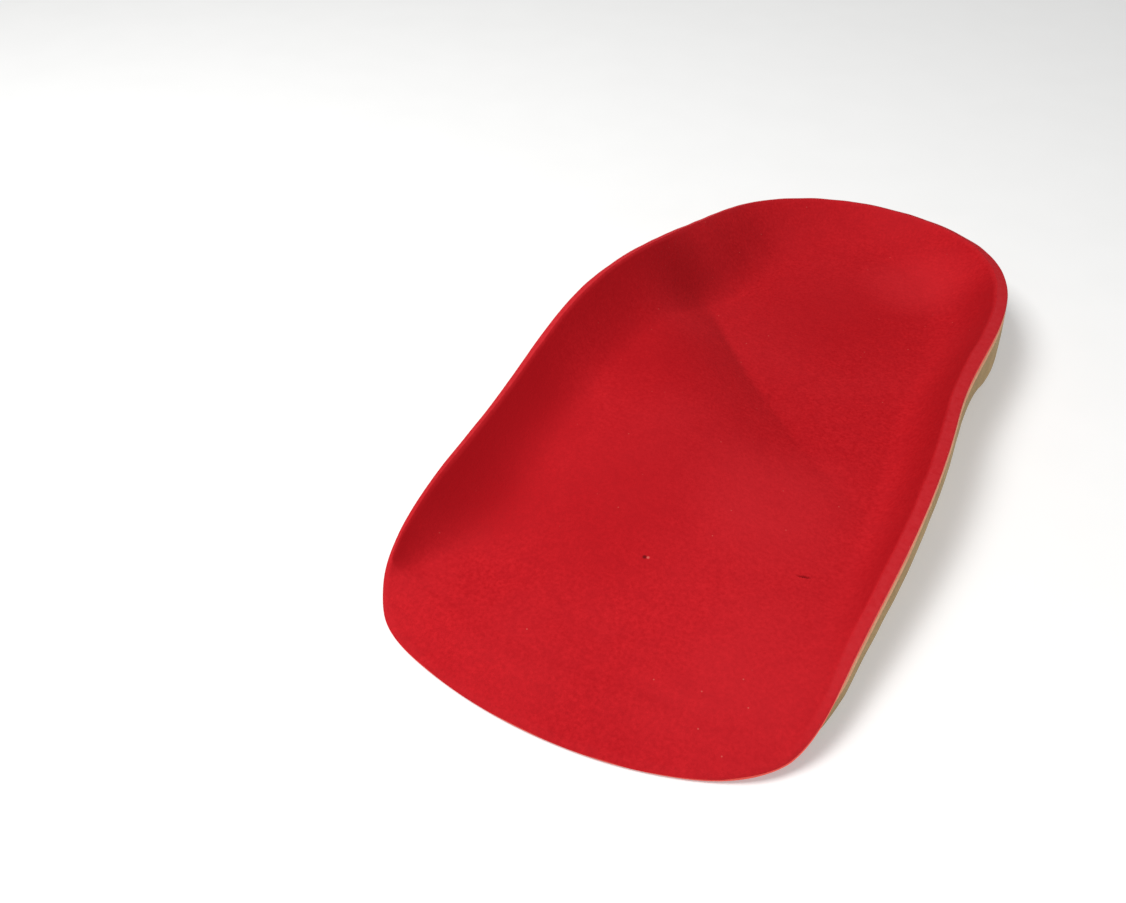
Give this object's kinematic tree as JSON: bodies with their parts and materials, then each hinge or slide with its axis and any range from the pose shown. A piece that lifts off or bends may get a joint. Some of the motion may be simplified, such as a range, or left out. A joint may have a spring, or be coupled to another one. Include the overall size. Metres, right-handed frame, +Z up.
{
  "type": "three-quarter-length shoe insole for the left foot",
  "caption": "Three-quarter-length orthotic insole for a left foot: red cover on a khaki shell with a heel cup, a high arch wall and a raised arch pad.",
  "frame": {"origin": "on the floor, under the middle of the outline", "axes": "+Y towards the toes, +X towards the arch side, +Z up"},
  "size_m": [0.0832, 0.1752, 0.0259],
  "materials": {
    "cover": "red microfibre with a fine matte nap",
    "middle": "thin light tan foam line",
    "shell": "matte khaki foam, ground smooth at the sides"
  },
  "bodies": {
    "root": {"top_cover": "cover", "middle_layer": "middle", "base": "shell"}
  },
  "joints": []
}
